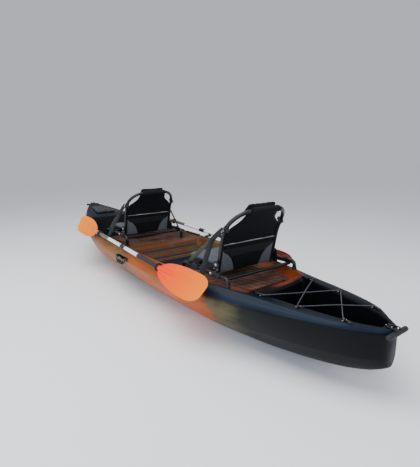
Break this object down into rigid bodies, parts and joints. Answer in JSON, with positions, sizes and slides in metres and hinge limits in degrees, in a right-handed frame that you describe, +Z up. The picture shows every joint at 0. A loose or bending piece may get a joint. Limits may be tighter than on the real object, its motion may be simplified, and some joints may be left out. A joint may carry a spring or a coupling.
{
  "type": "tandem sit-on-top kayak",
  "caption": "Rotomoulded two-seat sit-on-top kayak with folding frame seats, a stern tank well, bow hatch, carry handles and stowed paddles.",
  "frame": {"origin": "centre of the boat's length and beam, on the flat of the keel", "axes": "+X to the bow, +Y to port, +Z up"},
  "size_m": [4.017, 0.9912, 0.818],
  "materials": {
    "black_plastic": "satin",
    "black_tube": "satin black powder coat",
    "cord": "braided",
    "cushion_fabric": "woven polyester",
    "deck_foam": "matt foam",
    "hull_plastic": "satin rotomoulded, orange, khaki and black camouflage blend",
    "paddle_plastic": "satin",
    "rubber": "matt",
    "seat_fabric": "woven polyester",
    "seat_mesh": "knitted mesh",
    "shaft_white": "gloss",
    "webbing": "woven nylon"
  },
  "bodies": {
    "root": {"bow_handle_eye": "black_plastic", "first_tank_well_bungee": "cord", "front_seat_base": "black_tube", "front_seat_bracket_port": "black_plastic", "front_seat_bracket_starboard": "black_plastic", "front_seat_cushion": "cushion_fabric", "front_seat_mat": "deck_foam", "front_seat_strap_port": "webbing", "front_seat_strap_starboard": "webbing", "hatch_gasket": "rubber", "hatch_hinge": "black_plastic", "hull": "hull_plastic", "port_bungee_eye_1": "black_plastic", "port_bungee_eye_2": "black_plastic", "port_bungee_eye_3": "black_plastic", "port_gear_track": "black_plastic", "port_handle_mount": "black_plastic", "port_paddle_keeper": "black_plastic", "rear_seat_base": "black_tube", "rear_seat_bracket_port": "black_plastic", "rear_seat_bracket_starboard": "black_plastic", "rear_seat_cushion": "cushion_fabric", "rear_seat_mat": "deck_foam", "rear_seat_strap_port": "webbing", "rear_seat_strap_starboard": "webbing", "second_tank_well_bungee": "cord", "starboard_bungee_eye_1": "black_plastic", "starboard_bungee_eye_2": "black_plastic", "starboard_bungee_eye_3": "black_plastic", "starboard_gear_track": "black_plastic", "starboard_handle_mount": "black_plastic", "starboard_paddle_keeper": "black_plastic", "stern_handle_eye": "black_plastic"},
    "rear_seat_back": {"rear_seat_back_hoop": "black_tube", "rear_seat_back_panel": "seat_fabric", "rear_seat_back_mesh": "seat_mesh", "rear_seat_headrest": "seat_fabric"},
    "front_seat_back": {"front_seat_back_hoop": "black_tube", "front_seat_back_panel": "seat_fabric", "front_seat_back_mesh": "seat_mesh", "front_seat_headrest": "seat_fabric"},
    "drain_plug": {"drain_plug": "black_plastic"},
    "hatch_lid": {"hatch_lid": "black_plastic"},
    "hatch_latch": {"hatch_latch": "black_plastic"},
    "stern_handle": {"stern_handle_cord": "cord", "stern_handle_grip": "black_plastic"},
    "bow_handle": {"bow_handle_cord": "cord", "bow_handle_grip": "black_plastic"},
    "port_side_handle": {"port_side_handle": "black_plastic"},
    "port_paddle": {"port_paddle_aft_shaft": "shaft_white", "port_paddle_aft_blade": "paddle_plastic"},
    "port_paddle_fore_half": {"port_paddle_fore_shaft": "shaft_white", "port_paddle_fore_blade": "paddle_plastic"},
    "starboard_side_handle": {"starboard_side_handle": "black_plastic"},
    "starboard_paddle": {"starboard_paddle_aft_shaft": "shaft_white", "starboard_paddle_aft_blade": "paddle_plastic"},
    "starboard_paddle_fore_half": {"starboard_paddle_fore_shaft": "shaft_white", "starboard_paddle_fore_blade": "paddle_plastic"}
  },
  "joints": [
    {"name": "rear_seat_back_fold", "type": "hinge", "parent": "root", "child": "rear_seat_back", "pos_m": [-1.042, 0, 0.445], "axis": [0, 1, 0], "range_deg": [-15, 90], "deforming": ["rear_seat_strap_port", "rear_seat_strap_starboard"]},
    {"name": "front_seat_back_fold", "type": "hinge", "parent": "root", "child": "front_seat_back", "pos_m": [0.367, 0, 0.445], "axis": [0, 1, 0], "range_deg": [-15, 90], "deforming": ["front_seat_strap_port", "front_seat_strap_starboard"]},
    {"name": "hatch_lid_hinge", "type": "hinge", "parent": "root", "child": "hatch_lid", "pos_m": [1.79863, 0, 0.48873], "axis": [0, 1, 0], "range_deg": [0, 110]},
    {"name": "hatch_latch_turn", "type": "hinge", "parent": "hatch_lid", "child": "hatch_latch", "pos_m": [1.52771, 0, 0.46405], "axis": [-0.1093, 0, 0.994], "range_deg": [0, 90]},
    {"name": "drain_plug_turn", "type": "hinge", "parent": "root", "child": "drain_plug", "pos_m": [1.435, 0, 0.434], "axis": [-0.169, 0, 0.9856], "range_deg": [0, 360]},
    {"name": "stern_handle_swing", "type": "hinge", "parent": "root", "child": "stern_handle", "pos_m": [-1.958, 0, 0.348], "axis": [0, 1, 0], "range_deg": [0, 110]},
    {"name": "bow_handle_swing", "type": "hinge", "parent": "root", "child": "bow_handle", "pos_m": [1.95656, 0, 0.51319], "axis": [0, -1, 0], "range_deg": [0, 110]},
    {"name": "port_handle_swing", "type": "hinge", "parent": "root", "child": "port_side_handle", "pos_m": [-0.06, 0.44934, 0.30918], "axis": [1, 0, 0], "range_deg": [0, 90]},
    {"name": "port_paddle_lift", "type": "slide", "parent": "root", "child": "port_paddle", "axis": [0, 0, 1], "range_m": [0, 0.25]},
    {"name": "port_paddle_feather", "type": "hinge", "parent": "port_paddle", "child": "port_paddle_fore_half", "pos_m": [-0.05, 0.42394, 0.38734], "axis": [0.9994, 0, 0.034], "range_deg": [0, 60]},
    {"name": "starboard_handle_swing", "type": "hinge", "parent": "root", "child": "starboard_side_handle", "pos_m": [-0.06, -0.44934, 0.30918], "axis": [-1, 0, 0], "range_deg": [0, 90]},
    {"name": "starboard_paddle_lift", "type": "slide", "parent": "root", "child": "starboard_paddle", "axis": [0, 0, 1], "range_m": [0, 0.25]},
    {"name": "starboard_paddle_feather", "type": "hinge", "parent": "starboard_paddle", "child": "starboard_paddle_fore_half", "pos_m": [0.08, -0.42394, 0.39176], "axis": [-0.9994, 0, -0.034], "range_deg": [0, 60]}
  ]
}
